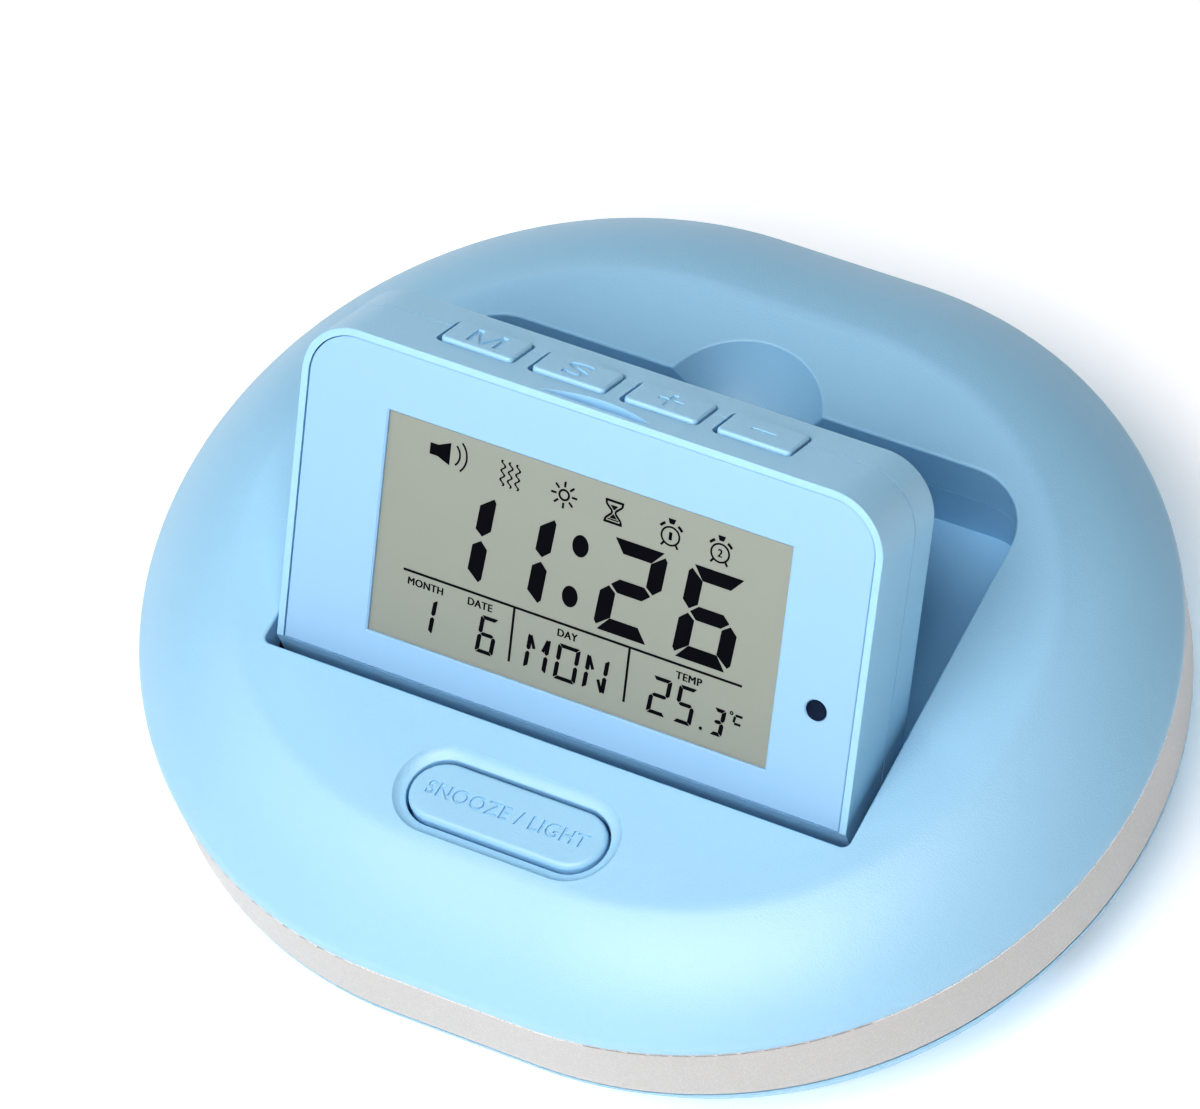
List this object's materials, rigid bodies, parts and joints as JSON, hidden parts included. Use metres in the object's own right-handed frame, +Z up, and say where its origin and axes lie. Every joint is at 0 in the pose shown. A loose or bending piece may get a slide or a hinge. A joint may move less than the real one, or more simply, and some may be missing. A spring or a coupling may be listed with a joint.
{
  "type": "alarm clock",
  "caption": "Runaway alarm clock: oval wheeled base with a silver band, a snooze bar, and a display block with keys on its top edge that folds back into a well.",
  "frame": {"origin": "on the floor under the middle of the base, level with where the wheels and balls touch", "axes": "+Z up, +X to the right for a person facing the screen, -Y towards that person"},
  "size_m": [0.1306, 0.1106, 0.0689],
  "materials": {
    "blue_shell": "satin moulded, light blue",
    "face_panel": "smooth satin, pale blue",
    "silver_band": "silver satin paint",
    "lcd_glass": "clear polished glass over a grey-green cell",
    "diffuser": "white, matt",
    "contact_rubber": "striped conductive rubber",
    "board_laminate": "green solder mask",
    "black_plastic": "fine grain",
    "sensor_lens": "polished dark lens",
    "steel": "turned and plated",
    "spring_plate": "nickel plated",
    "cell_jacket": "printed sleeve, plain",
    "ball_plastic": "polished ball",
    "ring_plastic": "moulded, blue",
    "tyre": "moulded rubber with cross grooves",
    "hub_plastic": "moulded, grey",
    "gear_plastic": "natural acetal",
    "brass": "cut brass",
    "motor_can": "drawn can"
  },
  "bodies": {
    "base": {"top_cover": "blue_shell", "trim_band": "silver_band", "well_tray": "blue_shell", "bottom_shell": "blue_shell", "main_board": "board_laminate", "board_parts": "black_plastic", "board_screws": "steel", "snooze_switch": "black_plastic", "speaker": "black_plastic", "aaa_cells": "cell_jacket", "battery_contacts": "spring_plate", "battery_springs": "spring_plate", "case_screws": "steel", "caster_rings": "ring_plastic", "gearbox_frame_left": "black_plastic", "idler_pin_left": "steel", "drive_motor_left": "motor_can", "gearbox_frame_right": "black_plastic", "idler_pin_right": "steel", "drive_motor_right": "motor_can"},
    "display": {"display_housing": "blue_shell", "rear_cover": "blue_shell", "face_plate": "face_panel", "lcd_panel": "lcd_glass", "backlight": "diffuser", "contact_strip": "contact_rubber", "display_board": "board_laminate", "light_sensor": "sensor_lens", "key_board": "board_laminate", "key_switches": "black_plastic", "hinge_pins": "steel", "friction_washers": "black_plastic", "display_screws": "steel"},
    "key_mode": {"key_mode": "blue_shell"},
    "key_set": {"key_set": "blue_shell"},
    "key_plus": {"key_plus": "blue_shell"},
    "key_minus": {"key_minus": "blue_shell"},
    "snooze_button": {"snooze_button": "blue_shell"},
    "battery_door": {"battery_door": "blue_shell"},
    "wheel_left": {"tyre_left": "tyre", "wheel_hub_left": "hub_plastic", "axle_left": "steel", "wheel_gear_left": "gear_plastic"},
    "idler_left": {"idler_gear_left": "gear_plastic"},
    "rotor_left": {"motor_pinion_left": "brass", "motor_shaft_left": "steel"},
    "wheel_right": {"tyre_right": "tyre", "wheel_hub_right": "hub_plastic", "axle_right": "steel", "wheel_gear_right": "gear_plastic"},
    "idler_right": {"idler_gear_right": "gear_plastic"},
    "rotor_right": {"motor_pinion_right": "brass", "motor_shaft_right": "steel"},
    "ball_front": {"caster_ball_front": "ball_plastic"},
    "ball_rear": {"caster_ball_rear": "ball_plastic"}
  },
  "joints": [
    {"name": "display_fold", "type": "hinge", "parent": "base", "child": "display", "pos_m": [0, -0.01847, 0.02668], "axis": [1, 0, 0], "range_deg": [-55.9, 0]},
    {"name": "key_mode_press", "type": "slide", "parent": "display", "child": "key_mode", "axis": [0, -0.5606, -0.8281], "range_m": [0, 0.0006], "stiffness_N_per_m": 500, "springref_m": -0.001},
    {"name": "key_set_press", "type": "slide", "parent": "display", "child": "key_set", "axis": [0, -0.5606, -0.8281], "range_m": [0, 0.0006], "stiffness_N_per_m": 500, "springref_m": -0.001},
    {"name": "key_plus_press", "type": "slide", "parent": "display", "child": "key_plus", "axis": [0, -0.5606, -0.8281], "range_m": [0, 0.0006], "stiffness_N_per_m": 500, "springref_m": -0.001},
    {"name": "key_minus_press", "type": "slide", "parent": "display", "child": "key_minus", "axis": [0, -0.5606, -0.8281], "range_m": [0, 0.0006], "stiffness_N_per_m": 500, "springref_m": -0.001},
    {"name": "snooze_press", "type": "slide", "parent": "base", "child": "snooze_button", "axis": [0, 0, -1], "range_m": [0, 0.001], "stiffness_N_per_m": 600, "springref_m": -0.002},
    {"name": "battery_door_open", "type": "hinge", "parent": "base", "child": "battery_door", "pos_m": [0, 0.0099, 0.0044], "axis": [1, 0, 0], "range_deg": [0, 85]},
    {"name": "wheel_left_spin", "type": "hinge", "parent": "base", "child": "wheel_left", "pos_m": [-0.0531, 0, 0.013], "axis": [1, 0, 0], "continuous": true},
    {"name": "idler_left_spin", "type": "hinge", "parent": "base", "child": "idler_left", "pos_m": [-0.0451, 0.01027, 0.01518], "axis": [1, 0, 0], "continuous": true},
    {"name": "rotor_left_spin", "type": "hinge", "parent": "base", "child": "rotor_left", "pos_m": [-0.042, 0.01881, 0.01102], "axis": [1, 0, 0], "continuous": true},
    {"name": "wheel_right_spin", "type": "hinge", "parent": "base", "child": "wheel_right", "pos_m": [0.0531, 0, 0.013], "axis": [1, 0, 0], "continuous": true},
    {"name": "idler_right_spin", "type": "hinge", "parent": "base", "child": "idler_right", "pos_m": [0.0451, 0.01027, 0.01518], "axis": [1, 0, 0], "continuous": true},
    {"name": "rotor_right_spin", "type": "hinge", "parent": "base", "child": "rotor_right", "pos_m": [0.042, 0.01881, 0.01102], "axis": [1, 0, 0], "continuous": true},
    {"name": "ball_front_roll", "type": "hinge", "parent": "base", "child": "ball_front", "pos_m": [0, -0.042, 0.005], "axis": [1, 0, 0], "continuous": true},
    {"name": "ball_rear_roll", "type": "hinge", "parent": "base", "child": "ball_rear", "pos_m": [0, 0.042, 0.005], "axis": [1, 0, 0], "continuous": true}
  ],
  "couplings": [
    {"joint": "idler_left_spin", "follows": "wheel_left_spin", "ratio": -3.2},
    {"joint": "rotor_left_spin", "follows": "wheel_left_spin", "ratio": 12},
    {"joint": "idler_right_spin", "follows": "wheel_right_spin", "ratio": -3.2},
    {"joint": "rotor_right_spin", "follows": "wheel_right_spin", "ratio": 12}
  ]
}
